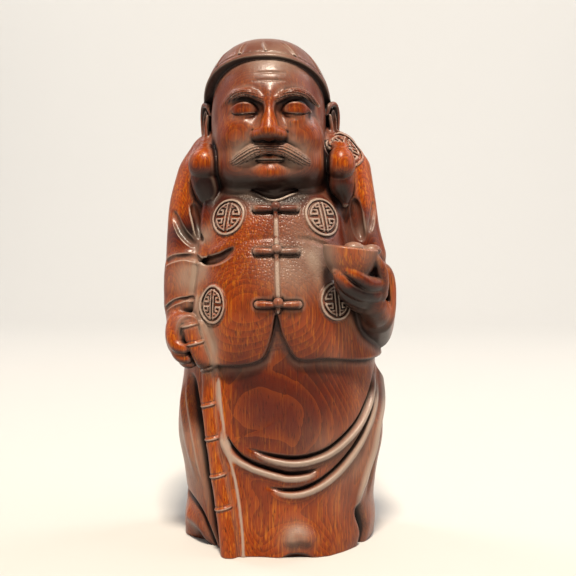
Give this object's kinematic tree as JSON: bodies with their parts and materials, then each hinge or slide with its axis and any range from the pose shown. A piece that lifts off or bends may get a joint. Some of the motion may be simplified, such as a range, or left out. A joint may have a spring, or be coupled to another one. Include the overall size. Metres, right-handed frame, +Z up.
{
  "type": "carved wooden figure",
  "caption": "Standing carved hardwood figure in a cap and a long buttoned jacket, with a staff in one hand and a boat-shaped ingot in the other.",
  "frame": {"origin": "on the flat underside, under the middle of the robe", "axes": "+Z up through the cap, the figure faces -Y, and its left hand with the ingot is on +X"},
  "size_m": [0.1354, 0.1157, 0.2974],
  "materials": {
    "stained_hardwood": "carved, stained reddish brown and varnished to a soft gloss"
  },
  "bodies": {
    "root": {"figure": "stained_hardwood"}
  },
  "joints": []
}
